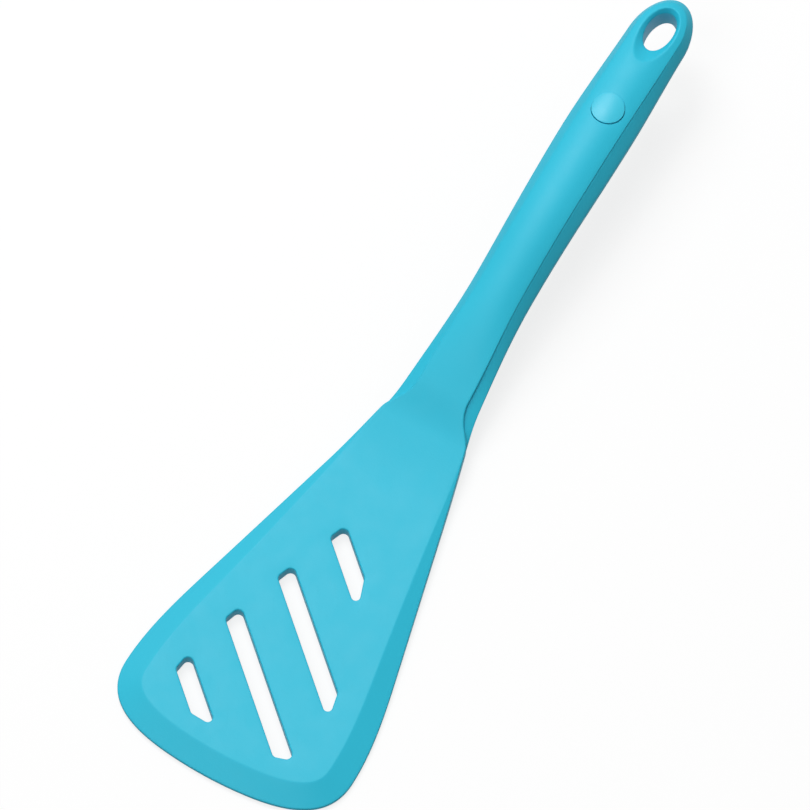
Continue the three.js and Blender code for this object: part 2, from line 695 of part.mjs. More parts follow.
const back = backBody().subtract(faceChannel()).subtract(corePocket()).subtract(hole);
addPiece('handle_back', geometryFrom(back), silicone());

const insert = insertBody(0).subtract(slotCuts(INSERT_SLOT_WALL)).subtract(rivetRooms);
addPiece('blade_insert', geometryFrom(insert), steel());

const core = coreBody().subtract(tangSeat()).subtract(rivetRooms);
addPiece('handle_core', geometryFrom(core), nylon());

const badge = faceDisc(BADGE_DIAMETER / 2, BADGE_DEPTH, BADGE_PROUD, BADGE_DOME);
addPiece('badge_disc', geometryFrom(badge), disc());

rivetFrames.forEach((frame, i) => {
  const stand = new THREE.Group();
  stand.position.copy(frame.position);
  stand.rotation.x = frame.slope;
  spatula.add(stand);
  const rivet = geometryFrom(solidFrom(turned(rivetProfile(frame.grip))));
  addPiece(['tang_rivet_front', 'tang_rivet_rear'][i], rivet, steel(), stand);
});

export default spatula;
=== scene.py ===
"""Looks of the slotted silicone turner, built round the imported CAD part."""

import math

import bmesh
import bpy
from mathutils import Euler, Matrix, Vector
from mathutils.geometry import delaunay_2d_cdt
from mathutils.kdtree import KDTree


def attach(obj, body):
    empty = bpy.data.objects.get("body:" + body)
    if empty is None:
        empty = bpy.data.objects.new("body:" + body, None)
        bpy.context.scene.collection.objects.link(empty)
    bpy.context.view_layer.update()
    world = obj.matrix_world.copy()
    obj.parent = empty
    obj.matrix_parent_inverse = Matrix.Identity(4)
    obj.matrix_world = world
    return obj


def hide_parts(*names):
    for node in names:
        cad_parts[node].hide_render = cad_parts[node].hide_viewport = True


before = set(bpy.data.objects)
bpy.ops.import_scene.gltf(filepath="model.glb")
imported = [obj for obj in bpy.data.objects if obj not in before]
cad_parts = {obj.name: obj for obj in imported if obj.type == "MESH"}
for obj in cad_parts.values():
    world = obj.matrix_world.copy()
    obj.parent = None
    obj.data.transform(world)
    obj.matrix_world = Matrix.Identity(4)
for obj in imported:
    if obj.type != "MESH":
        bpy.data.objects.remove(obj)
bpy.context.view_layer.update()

# Sizes are in millimetres, as in the CAD model. X is across, Y runs from the blade's front edge to the
# handle's end, and Z is up from the blade's underside. The part's origin is at ORIGIN_Y.
MM = 0.001
ORIGIN_Y = 50
OVERALL_LENGTH = 311.8

# Outline, thickness and bevel of the blade
BLADE_WIDTH = 87.2
BLADE_WIDEST_Y = 22.3
FRONT_EDGE_WIDTH = 30
FRONT_BOW = 0.79
CORNER_FULLNESS = 0.632
SHOULDER_WIDTH = 72.6
SHOULDER_Y = 64.5
NECK_WIDTH = 32.6
NECK_Y = 142
PLATE_THICKNESS = 4.7
RIM_THICKNESS = 1.4
BEVEL_WIDTH = 8.2
BEVEL_FADE = 1.5

# Slots through the blade, and the margins of the field that they end at
SLOT_COUNT = 4
SLOT_WIDTH = 6.3
SLOT_PITCH = 21.07
SLOT_ANGLE = math.radians(41.55)
FIRST_SLOT_Y = 7.1
SLOT_FRONT_MARGIN = 15.4
SLOT_FRONT_BOW = 0.48
SLOT_FRONT_BOW_POWER = 4
SLOT_SIDE_MARGIN_FRONT = 15.8
SLOT_SIDE_MARGIN_REAR = 24.9
SLOT_CORNER_RADIUS = 1.9
SLOT_CORNER_SHARE = 0.45

# Rise of the top face above the blade, along the part
BLADE_FLAT_END_Y = 118
NECK_RISE = 3.2
THROAT_Y = 156.2
THROAT_RISE = 9.3
WAIST_Y = 195
WAIST_RISE = 22.6
PALM_RISE = 29.4
HANDLE_RISE = 32
END_ROUND_RISE = 31.7
END_RISE = 29.6
END_SLOPE = -0.3

# Top face of the handle
FACE_THROAT_WIDTH = 18.8
FACE_THROAT_FULLNESS = 0.53
FACE_WAIST_WIDTH = 15.6
FACE_END_WIDTH = 16.8
FACE_END_INSET = 2.4
CROWN_HEIGHT = 2.3
CROWN_FULL_Y = 200

# Flanks and underside of the handle. Beside the neck they run out to nothing over the length of the tip.
NECK_TO_BACK = 3.5
BACK_TIP = 3.2
BACK_TIP_DEPTH = 4.9
BACK_START_DEPTH = 5.6
HANDLE_THROAT_WIDTH = 27
HANDLE_THROAT_DEPTH = 7.4
HANDLE_WAIST_WIDTH = 21.5
HANDLE_WAIST_DEPTH = 13.6
HANDLE_PALM_WIDTH = 23.6
HANDLE_PALM_TO_BADGE = 7
HANDLE_PALM_DEPTH = 15
HANDLE_END_WIDTH = 21.2
HANDLE_END_TAPER = 0.02
HANDLE_END_DEPTH = 13.2
HANDLE_END_ROUND = 16.5
FLANK_STEP_NECK = 1.5
FLANK_STEP_HANDLE = 0.4
FLANK_STEP_END = 0.2
FLANK_FADE_FROM_BADGE = 12
FLANK_FULLNESS = 0.88
BACK_ROUNDNESS = 2.8

# Hanging hole and its dish, which is shorter, deeper and steeper towards the handle's end
HOLE_WIDTH = 9.4
HOLE_LENGTH = 15.8
HOLE_END_WALL = 6.35
DISH_DEPTH = 2.7
DISH_SIDE = 2.3
DISH_FRONT = 5.7
DISH_END = 2.6
DISH_CUT_SHORT = 0.45
DISH_FAR_DROP = 1.6
DISH_FAR_STEEPER = 0.4

# Disc in the handle's face, a little off the middle of its pocket and flatter than the crown round it
BADGE_DIAMETER = 11.2
BADGE_TO_END = 48.6
BADGE_DEPTH = 1.3
BADGE_PROUD = 0.25
BADGE_DOME = 0.25
BADGE_GAP = 0.15
BADGE_SEAT = (0.45, -0.85)
BADGE_FLATTER = 0.2

# Softness of the moulded edges
RIM_RADIUS = 0.5
RIM_RADIUS_HANDLE = 0.25
RIM_RADIUS_END = 0.2
RIM_END = 1.6 * RIM_RADIUS
UNDER_RADIUS = 0.35
SLOT_RIM_RADIUS = 0.55
BEVEL_SOFTNESS = 0.4
BEVEL_SOFT_SHARE = 0.4
DISH_SOFTNESS = 0.5
BORE_FOOT = 0.4
BORE_EDGE_DROPS = (0.45, 0.12)
BORE_UNDER_RIM = 0.35
BORE_UNDER_RIM_STEP = 0.1
SEAM_GAP = 0.02
SEAM_WALL = 0.04
SEAM_LIP = 0.12
SEAM_RADIUS = 0.1
BADGE_RADIUS = 0.12
SHARP_ANGLE = math.radians(50)

# Mesh density, and how near two points count as one. The weld distance is in metres.
FILLET_STEPS = 4
FRONT_STEPS = 12
CORNER_STEPS = 26
SIDE_STEPS = 14
TAPER_STEPS = 36
THROAT_STEPS = 16
FACE_END_STEPS = 18
SLOT_CORNER_STEPS = 9
BELLY_STEPS = 15
BORE_ROWS = 9
END_ROWS = 36
RING_SIDES = 56
BLADE_SPACING = 3.4
HANDLE_SPACING = 1.9
ROW_SPACING = 2.2
RIM_CLEARANCE = 0.7
BEVEL_SHARES = (0.0, 0.3, 0.6, 0.85)
BEVEL_LEAST_STEP = 0.05
CREASE_SHARES = (0.0, 0.5, 1.0, 1.5, 2.0)
CREASE_LEAST_STEP = 0.06
CREASE_LEAST_SHARE = 0.25
CREASE_GROWTH = 5
DISH_SHARES = (0.04, 0.15, 0.3, 0.45, 0.6, 0.75, 0.85, 0.95, 1.05, 1.12)
FLANK_SHARES = (0.9, 0.78, 0.65, 0.5, 0.36, 0.22, 0.1, 0.04)
DISC_BASE_SHARES = (0.0, 0.5, 1.0)
DISC_TOP_SHARES = (0.9, 0.75, 0.6, 0.45, 0.3, 0.15, 0.0)
HALVINGS = 40
SAME_PLACE = 1e-6
SAME_FLAT_POINT = 1e-5
WELD_DISTANCE = 1e-7

# Moulded materials: sizes of their noise, how far it reaches, and the depth of the grain in metres
CLOUD_SCALE = 35.0
CLOUD_DETAIL = 3.0
CLOUD_SHADE = 0.025
GLOSS_SCALE = 140.0
GLOSS_DETAIL = 4.0
GLOSS_SPREAD = 0.03
GRAIN_SCALE = 1800.0
GRAIN_DETAIL = 2.0
GRAIN_DEPTH = 0.0002
NOISE_LOW = 0.3
NOISE_HIGH = 0.7

# Floor, world and lamps, in metres. The floor and the world are white to the camera, and the floor keeps
# a faint shadow.
WHITE = (1, 1, 1, 1)
FLOOR_REACH = 6.0
FLOOR_Z = -0.0004
FLOOR_COLOUR = (0.2, 0.2, 0.2, 1)
FLOOR_ROUGHNESS = 0.9
FLOOR_GLOW = 0.8
WORLD_LEVEL = 0.31
LAMP_DISTANCE = 1.8

# The photograph's view, in metres, with the lens and its sensor in millimetres
VIEW_CENTRE = Vector((-0.01135, 0.09941, 0.0))
VIEW_WIDTH = 0.270
VIEW_TURN = math.radians(30.6)
VIEW_TILT = math.radians(23.75)
LENS = 1000.0
SENSOR = 36.0
CLIP_START = 0.1
CLIP_END = 100.0


def smooth_through(knots, start_slope=0.0, end_slope=0.0):
    """A smooth function through (place, value) knots that doesn't overshoot them."""
    last = len(knots) - 1
    slopes = [start_slope]
    for i in range(1, last):
        before = (knots[i][1] - knots[i - 1][1]) / (knots[i][0] - knots[i - 1][0])
        after = (knots[i + 1][1] - knots[i][1]) / (knots[i + 1][0] - knots[i][0])
        slopes.append(2 * before * after / (before + after) if before * after > 0 else 0.0)
    slopes.append(end_slope)

    def value(place):
        if place <= knots[0][0]:
            return knots[0][1] + start_slope * (place - knots[0][0])
        if place >= knots[last][0]:
            return knots[last][1] + end_slope * (place - knots[last][0])
        i = next(k for k in range(last) if place < knots[k + 1][0])
        span = knots[i + 1][0] - knots[i][0]
        t = (place - knots[i][0]) / span
        rest = 1 - t
        ends = rest * rest * (1 + 2 * t) * knots[i][1] + t * t * (3 - 2 * t) * knots[i + 1][1]
        return ends + span * (t * rest * rest * slopes[i] - t * t * rest * slopes[i + 1])

    return value


side_taper = (SHOULDER_WIDTH - NECK_WIDTH) / 2 / (NECK_Y - SHOULDER_Y)
end_round_y = OVERALL_LENGTH - HANDLE_END_ROUND
face_end_y = OVERALL_LENGTH - FACE_END_INSET
badge_y = OVERALL_LENGTH - BADGE_TO_END
palm_y = (WAIST_Y + badge_y) / 2
flank_fade_y = badge_y + FLANK_FADE_FROM_BADGE
widest_y = badge_y - HANDLE_PALM_TO_BADGE
back_start_y = NECK_Y + NECK_TO_BACK
back_start_half = NECK_WIDTH / 2 - NECK_TO_BACK * side_taper
hole_y = OVERALL_LENGTH - HOLE_END_WALL - HOLE_LENGTH / 2
hole_start_y = hole_y - HOLE_LENGTH / 2

top_height = smooth_through([
    (BLADE_FLAT_END_Y, PLATE_THICKNESS),
    (NECK_Y, PLATE_THICKNESS + NECK_RISE),
    (THROAT_Y, PLATE_THICKNESS + THROAT_RISE),
    (WAIST_Y, PLATE_THICKNESS + WAIST_RISE),
    (palm_y, PLATE_THICKNESS + PALM_RISE),
    (badge_y, PLATE_THICKNESS + HANDLE_RISE),
    (end_round_y, PLATE_THICKNESS + END_ROUND_RISE),
    (OVERALL_LENGTH, PLATE_THICKNESS + END_RISE),
], 0.0, END_SLOPE)
crown = smooth_through([(NECK_Y, 0), (CROWN_FULL_Y, CROWN_HEIGHT)])
face_half_width = smooth_through([
    (THROAT_Y, FACE_THROAT_WIDTH / 2),
    (WAIST_Y, FACE_WAIST_WIDTH / 2),
    (end_round_y, FACE_END_WIDTH / 2),
])
handle_half_width = smooth_through([
    (back_start_y, back_start_half),
    (THROAT_Y, HANDLE_THROAT_WIDTH / 2),
    (WAIST_Y, HANDLE_WAIST_WIDTH / 2),
    (widest_y, HANDLE_PALM_WIDTH / 2),
    (end_round_y, HANDLE_END_WIDTH / 2),
], -side_taper, -HANDLE_END_TAPER)
handle_depth = smooth_through([
    (back_start_y - BACK_TIP, BACK_TIP_DEPTH),
    (back_start_y, BACK_START_DEPTH),
    (THROAT_Y, HANDLE_THROAT_DEPTH),
    (WAIST_Y, HANDLE_WAIST_DEPTH),
    (widest_y, HANDLE_PALM_DEPTH),
    (end_round_y, HANDLE_END_DEPTH),
])
flank_step = smooth_through([
    (back_start_y, FLANK_STEP_NECK),
    (WAIST_Y, FLANK_STEP_HANDLE),
    (flank_fade_y, FLANK_STEP_HANDLE),
    (end_round_y, FLANK_STEP_END),
])
rim_radius = smooth_through([
    (THROAT_Y, RIM_RADIUS),
    (WAIST_Y, RIM_RADIUS_HANDLE),
    (end_round_y, RIM_RADIUS_END),
])


def lerp(a, b, t):
    return a + (b - a) * t


def steps(start, end, count):
    return [lerp(start, end, i / count) for i in range(count + 1)]


def places_along(start, end, spacing):
    return steps(start, end, max(2, round((end - start) / spacing)))


def plate_bottom(y):
    return top_height(y) - PLATE_THICKNESS


def face_height(x, y):
    """Height of the top face: flat across the blade, crowned on the handle, rounded off at its end."""
    across = x / face_half_width(y)
    into_end = max(0.0, (y - end_round_y) / (face_end_y - end_round_y))
    return top_height(y) - crown(y) * min(1.0, across * across + into_end * into_end)


def flank_top_height(y):
    """Height of the flank where it meets the edge of the handle's face."""
    return top_height(y) - crown(y) - flank_step(y)


def bezier(points, count):
    """Points on a Bezier curve of any degree, the start left out."""
    made = []
    for t in steps(0, 1, count)[1:]:
        level = [Vector(p) for p in points]
        while len(level) > 1:
            level = [lerp(a, b, t) for a, b in zip(level, level[1:])]
        made.append(level[0])
    return made


def ellipse_point(y, half_width, half_length, angle):
    return Vector((half_width * math.cos(angle), y + half_length * math.sin(angle)))


def face_end_point(angle):
    """Point on the rounded end of the handle's face."""
    return ellipse_point(end_round_y, FACE_END_WIDTH / 2, face_end_y - end_round_y, angle)


def fillet(radius, turn):
    """How far a point of a quarter-round edge is inside the edge's two faces."""
    return radius * (1 - math.sin(turn)), radius * (1 - math.cos(turn))


def face_throat():
    """Edge of the face where it narrows from the neck to the handle."""
    length = THROAT_Y - NECK_Y
    neck_half = NECK_WIDTH / 2
    throat_half = FACE_THROAT_WIDTH / 2
    return bezier([
        (neck_half, NECK_Y),
        (neck_half - length / 3 * side_taper, NECK_Y + length / 3),
        (throat_half, THROAT_Y - FACE_THROAT_FULLNESS * length),
        (throat_half, THROAT_Y),
    ], THROAT_STEPS)


def blade_edge():
    """Right-hand edge of the blade, from the middle of the front to the neck."""
    half = BLADE_WIDTH / 2
    front_half = FRONT_EDGE_WIDTH / 2
    shoulder_half = SHOULDER_WIDTH / 2
    front_slope = 2 * FRONT_BOW / front_half
    reach = CORNER_FULLNESS * (half - front_half)
    rise = CORNER_FULLNESS * (BLADE_WIDEST_Y - FRONT_BOW)
    side = (SHOULDER_Y - BLADE_WIDEST_Y) / 3
    edge = [Vector((0, 0))]
    edge += bezier([(0, 0), (front_half / 2, 0), (front_half, FRONT_BOW)], FRONT_STEPS)
    edge += bezier([
        (front_half, FRONT_BOW),
        (front_half + reach, FRONT_BOW + reach * front_slope),
        (half, BLADE_WIDEST_Y - rise),
        (half, BLADE_WIDEST_Y),
    ], CORNER_STEPS)
    edge += bezier([
        (half, BLADE_WIDEST_Y),
        (half, BLADE_WIDEST_Y + side),
        (shoulder_half + side * side_taper, SHOULDER_Y - side),
        (shoulder_half, SHOULDER_Y),
    ], SIDE_STEPS)
    edge += bezier([(shoulder_half, SHOULDER_Y), (NECK_WIDTH / 2, NECK_Y)], TAPER_STEPS)
    return edge


def face_edge():
    """Right-hand edge of the handle's face, from the neck to the rounded end."""
    edge = face_throat()
    for y in places_along(THROAT_Y, end_round_y, ROW_SPACING)[1:]:
        edge.append(Vector((face_half_width(y), y)))
    edge += [face_end_point(angle) for angle in steps(0, math.pi / 2, FACE_END_STEPS)[1:]]
    edge[-1].x = 0
    return edge


def half_at(edge, y):
    """Half width at a place along a right-hand edge."""
    i = next(k for k in range(len(edge) - 1) if y <= edge[k + 1].y)
    start, end = edge[i], edge[i + 1]
    return lerp(start.x, end.x, (y - start.y) / (end.y - start.y))


throat_edge = [Vector((NECK_WIDTH / 2, NECK_Y))] + face_throat()


def face_half_at(y):
    """Half width of the face's edge anywhere on the handle, the flared throat included."""
    return face_half_width(y) if y >= THROAT_Y else half_at(throat_edge, y)


def closed(right):
    """A closed outline, counter-clockwise, from a right-hand edge that starts and ends on the axis."""
    return right + [Vector((-p.x, p.y)) for p in reversed(right[1:-1])]


def left_normals(outline):
    """Unit normals on the left of a closed outline: its inside where it runs counter-clockwise."""
    made = []
    for i in range(len(outline)):
        along = (outline[(i + 1) % len(outline)] - outline[i - 1]).normalized()
        made.append(Vector((-along.y, along.x)))
    return made


def inside(outline, point):
    """Whether a point is inside a closed outline."""
    crossing = False
    for a, b in zip(outline, outline[1:] + outline[:1]):
        if (a.y > point.y) != (b.y > point.y):
            if point.x < a.x + (b.x - a.x) * (point.y - a.y) / (b.y - a.y):
                crossing = not crossing
    return crossing


def slot_outlines():
    """Rounded outlines of the blade's slots, clockwise."""
    along = Vector((math.cos(SLOT_ANGLE), -math.sin(SLOT_ANGLE)))
    edge = [p for p in blade_edge() if p.y >= BLADE_WIDEST_Y]
    rear_y = FIRST_SLOT_Y + SLOT_COUNT * SLOT_PITCH / math.cos(SLOT_ANGLE)

    def in_field(p):
        blade_half = edge[0].x if p.y <= edge[0].y else half_at(edge, p.y)
        side = lerp(SLOT_SIDE_MARGIN_FRONT, SLOT_SIDE_MARGIN_REAR, (p.y / rear_y) ** 2)
        bow = SLOT_FRONT_BOW * (2 * p.x / FRONT_EDGE_WIDTH) ** SLOT_FRONT_BOW_POWER
        return abs(p.x) < blade_half - side and p.y > SLOT_FRONT_MARGIN + bow

    def reach(start, direction):
        near, far = 0.0, BLADE_WIDTH
        for _ in range(HALVINGS):
            half = (near + far) / 2
            if in_field(start + direction * half):
                near = half
            else:
                far = half
        return start + direction * near

    made = []
    for i in range(SLOT_COUNT):
        offset = FIRST_SLOT_Y * math.cos(SLOT_ANGLE) + i * SLOT_PITCH
        corners = []
        for side in (1, -1):
            level = offset + side * SLOT_WIDTH / 2
            start = Vector((0, level / math.cos(SLOT_ANGLE)))
            short_by = SLOT_FRONT_MARGIN + SLOT_WIDTH - start.y
            start -= along * max(0.0, short_by / math.sin(SLOT_ANGLE))
            ends = [reach(start, -along), reach(start, along)]
            corners += ends if side > 0 else ends[::-1]
        made.append(rounded_outline(corners))
    return made


def rounded_outline(corners):
    """A clockwise polygon with its corners rounded and its long sides divided."""
    count = len(corners)
    arcs = []
    for i, point in enumerate(corners):
        before = corners[i - 1] - point
        after = corners[(i + 1) % count] - point
        half_angle = before.angle(after) / 2
        room = SLOT_CORNER_SHARE * min(before.length, after.length) * math.tan(half_angle)
        radius = min(SLOT_CORNER_RADIUS, room)
        inwards = (before.normalized() + after.normalized()).normalized()
        centre = point + inwards * (radius / math.sin(half_angle))
        middle = math.atan2(-inwards.y, -inwards.x)
        sweep = math.pi / 2 - half_angle
        arcs.append([
            centre + radius * Vector((math.cos(a), math.sin(a)))
            for a in steps(middle + sweep, middle - sweep, SLOT_CORNER_STEPS)
        ])
    outline = []
    for i, arc in enumerate(arcs):
        outline += arc
        start, end = arc[-1], arcs[(i + 1) % count][0]
        pieces = max(1, round((end - start).length / ROW_SPACING))
        outline += [start.lerp(end, k / pieces) for k in range(1, pieces)]
    return outline


class Sheet:
    """Collects points and faces of one mesh in millimetres, and makes a Blender object of them."""

    def __init__(self, name):
        self.name = name
        self.points = []
        self.faces = []

    def add(self, points):
        first = len(self.points)
        self.points += [Vector(p) for p in points]
        return list(range(first, len(self.points)))

    def strip(self, loop_a, loop_b, is_closed=True):
        count = len(loop_a)
        for i in range(count if is_closed else count - 1):
            j = (i + 1) % count
            self.faces.append((loop_a[i], loop_a[j], loop_b[j], loop_b[i]))

    def tube(self, loops):
        """Joins closed loops of points in a row. Gives the first and the last loop, as made."""
        made = [self.add(loop) for loop in loops]
        for loop_a, loop_b in zip(made, made[1:]):
            self.strip(loop_a, loop_b)
        return made[0], made[-1]

    def fill(self, outer, holes, height, spacing):
        """Fills a flat or gently curved region between loops that are already points of the mesh."""
        rims = [outer] + holes
        outlines = [[self.points[i].to_2d() for i in rim] for rim in rims]
        known = [i for rim in rims for i in rim]
        flat = [self.points[i].to_2d() for i in known]
        edges = []
        first = 0
        for rim in rims:
            edges += [(first + i, first + (i + 1) % len(rim)) for i in range(len(rim))]
            first += len(rim)
        near = KDTree(len(flat))
        for i, p in enumerate(flat):
            near.insert(p.to_3d(), i)
        near.balance()

        def in_region(p):
            return inside(outlines[0], p) and not any(inside(o, p) for o in outlines[1:])

        # New points lie in the rows of a triangular grid, clear of the rims
        high_y = max(p.y for p in flat)
        reach_x = max(abs(p.x) for p in flat)
        y = min(p.y for p in flat)
        row = 0
        while y < high_y:
            gap = spacing(y)
            columns = int(reach_x / gap) + 1
            for c in range(-columns, columns + 1):
                p = Vector(((c + 0.5 * (row % 2)) * gap, y))
                if near.find(p.to_3d())[2] > RIM_CLEARANCE * gap and in_region(p):
                    known += self.add([(p.x, p.y, height(p.x, p.y))])
                    flat.append(p)
            y += gap * math.sqrt(3) / 2
            row += 1
        found, _, triangles, origins, _, _ = delaunay_2d_cdt(flat, edges, [], 0, SAME_FLAT_POINT)
        for triangle in triangles:
            if in_region(sum((found[i] for i in triangle), Vector((0, 0))) / 3):
                self.faces.append(tuple(known[origins[i][0]] for i in triangle))

    def make(self):
        mesh = bpy.data.meshes.new(self.name)
        bm = bmesh.new()
        verts = [bm.verts.new((p.x * MM, (p.y - ORIGIN_Y) * MM, p.z * MM)) for p in self.points]
        for face in self.faces:
            corners = list(dict.fromkeys(face))
            if len(corners) > 2:
                bm.faces.new([verts[i] for i in corners])
        bmesh.ops.remove_doubles(bm, verts=bm.verts, dist=WELD_DISTANCE)
        bmesh.ops.dissolve_degenerate(bm, edges=bm.edges, dist=WELD_DISTANCE)
        loose = [v for v in bm.verts if not v.link_faces]
        bmesh.ops.delete(bm, geom=loose, context="VERTS")
        bmesh.ops.recalc_face_normals(bm, faces=bm.faces)
        for face in bm.faces:
            face.smooth = True
        for edge in bm.edges:
            edge.smooth = not edge.is_manifold or edge.calc_face_angle() < SHARP_ANGLE
        bm.to_mesh(mesh)
        bm.free()
        piece = bpy.data.objects.new(self.name, mesh)
        bpy.context.scene.collection.objects.link(piece)
        return piece


def soft_ramp(over, softness):
    """The amount that a value is over zero, with the kink at zero rounded."""
    if softness <= 0 or abs(over) >= softness:
        return max(0.0, over)
    return (over + softness) ** 2 / (4 * softness)


def soft_least(a, b, softness):
    return a - soft_ramp(a - b, softness)


def far_end(angle):
    """How far a point round the hole is towards the handle's end, from 0 at its sides to 1."""
    return max(0.0, math.sin(angle)) ** 2


def dish_cone(share, angle):
    """Height of the dish between the bore's edge, at share 0, and the dish's outer edge, at share 1."""
    steep = 1 + DISH_FAR_STEEPER * far_end(angle)
    return top_height(hole_y) + (steep * share - 1) * DISH_DEPTH - DISH_FAR_DROP * far_end(angle)


def hole_ring_point(share, angle):
    """Point between the bore's edge, at share 0, and the outer edge of its dish, at share 1."""
    bore = ellipse_point(hole_y, HOLE_WIDTH / 2, HOLE_LENGTH / 2, angle)
    dish = ellipse_point(
        hole_y + (DISH_END - DISH_FRONT) / 2,
        HOLE_WIDTH / 2 + DISH_SIDE,
        (HOLE_LENGTH + DISH_END + DISH_FRONT) / 2,
        angle,
    )
    return lerp(bore, dish, share)


ring_angles = [2 * math.pi * i / RING_SIDES for i in range(RING_SIDES)]


def bore_loop(height):
    points = [hole_ring_point(0, angle) for angle in ring_angles]
    return [(p.x, p.y, height(p.y, angle)) for p, angle in zip(points, ring_angles)]


def badge_loop(radius, lift, shift=Vector((0, 0))):
    points = [ellipse_point(badge_y, radius, radius, angle) + shift for angle in ring_angles]
    return [(p.x, p.y, face_height(p.x, p.y) + lift) for p in points]


def rim_loops():
    """Loops round the face moulding's edge, from its underside up to the inner end of the bevel."""
    outline = closed(blade_edge() + face_edge())
    normals = left_normals(outline)
    bevel_slope = (PLATE_THICKNESS - RIM_THICKNESS) / BEVEL_WIDTH

    def bevel_width(y):
        share = min(1.0, max(0.0, (y - BLADE_WIDEST_Y) / (NECK_Y - BLADE_WIDEST_Y)))
        return BEVEL_WIDTH * (1 - share ** BEVEL_FADE)

    widths = [bevel_width(p.y) for p in outline]

    def surface(i, inset):
        p = outline[i] + normals[i] * inset
        softness = min(BEVEL_SOFTNESS, BEVEL_SOFT_SHARE * widths[i])
        drop = bevel_slope * soft_ramp(widths[i] - inset, softness)
        return Vector((p.x, p.y, face_height(p.x, p.y) - drop))

    def place(i, inset, z):
        p = outline[i] + normals[i] * inset
        return (p.x, p.y, z)

    loops = []
    for turn in steps(0, math.pi / 2, FILLET_STEPS):
        inset, lift = fillet(UNDER_RADIUS, turn)
        loops.append([place(i, inset, plate_bottom(p.y) + lift) for i, p in enumerate(outline)])

    radii = [rim_radius(p.y) for p in outline]
    tilts = [
        math.atan2(surface(i, 2 * radius).z - surface(i, 0).z, 2 * radius)
        for i, radius in enumerate(radii)
    ]
    for share in steps(0, 1, FILLET_STEPS + 1):
        loop = []
        for i, (tilt, radius) in enumerate(zip(tilts, radii)):
            start = radius * (1 - math.sin(tilt))
            centre = surface(i, start).z - radius * math.cos(tilt)
            turn = lerp(math.pi / 2, tilt, share)
            loop.append(place(i, radius * (1 - math.sin(turn)), centre + radius * math.cos(turn)))
        loops.append(loop)

    for share in BEVEL_SHARES:
        loop = []
        for i, width in enumerate(widths):
            inset = lerp(RIM_END, max(RIM_END, width - BEVEL_SOFTNESS), share)
            loop.append(surface(i, inset + BEVEL_LEAST_STEP * share))
        loops.append(loop)
    for share in CREASE_SHARES:
        loop = []
        for i, width in enumerate(widths):
            start = max(RIM_END + CREASE_LEAST_STEP, width - BEVEL_SOFTNESS)
            spread = min(1.0, CREASE_LEAST_SHARE + width / CREASE_GROWTH)
            loop.append(surface(i, start + BEVEL_SOFTNESS * share * spread))
        loops.append(loop)
    return loops


def slot_rings(slot):
    """Loops up the wall of a slot, from the rounded edge below to the one above."""
    outward = left_normals(slot)
    rings = []
    for turn in steps(0, math.pi / 2, FILLET_STEPS):
        out, lift = fillet(UNDER_RADIUS, turn)
        rings.append([(*(p + n * out), lift) for p, n in zip(slot, outward)])
    for turn in steps(math.pi / 2, 0, FILLET_STEPS + 1):
        out, drop = fillet(SLOT_RIM_RADIUS, turn)
        rings.append([(*(p + n * out), PLATE_THICKNESS - drop) for p, n in zip(slot, outward)])
    return rings


def hole_rings():
    """Loops up the wall of the hanging hole and out over its dish."""
    rings = [
        bore_loop(lambda y, angle: plate_bottom(y)),
        bore_loop(lambda y, angle: plate_bottom(y) + BORE_FOOT),
    ]
    rings += [bore_loop(lambda y, angle: dish_cone(0, angle) - drop) for drop in BORE_EDGE_DROPS]
    for step in DISH_SHARES:
        ring = []
        for angle in ring_angles:
            share = step * (1 - DISH_CUT_SHORT * far_end(angle))
            p = hole_ring_point(share, angle)
            cone = dish_cone(share, angle)
            ring.append((p.x, p.y, soft_least(face_height(p.x, p.y), cone, DISH_SOFTNESS)))
        rings.append(ring)
    return rings


def pocket_rings():
    """Loops over the floor and up the wall of the disc's pocket."""
    pocket = BADGE_DIAMETER / 2 + BADGE_GAP
    shift = BADGE_GAP * Vector(BADGE_SEAT)
    rings = [badge_loop(pocket * share, -BADGE_DEPTH - BADGE_GAP, shift) for share in DISC_BASE_SHARES]
    for turn in steps(math.pi / 2, 0, FILLET_STEPS):
        out, drop = fillet(SEAM_RADIUS, turn)
        rings.append(badge_loop(pocket + out, -drop, shift))
    return rings


def make_face():
    """Blade, neck and top face of the handle: one moulding with rounded rims."""
    sheet = Sheet("silicone_blade_and_face")
    under_rims = []
    top_rims = []
    for loops in (rim_loops(), *[slot_rings(slot) for slot in slot_outlines()], hole_rings()):
        under, top = sheet.tube(loops)
        under_rims.append(under)
        top_rims.append(top)
    top_rims.append(sheet.tube(pocket_rings())[1])

    def spacing(y):
        return BLADE_SPACING if y < BLADE_FLAT_END_Y - BLADE_SPACING else HANDLE_SPACING

    sheet.fill(top_rims[0], top_rims[1:], face_height, spacing)
    sheet.fill(under_rims[0], under_rims[1:], lambda x, y: plate_bottom(y), lambda y: BLADE_SPACING)
    return sheet.make()


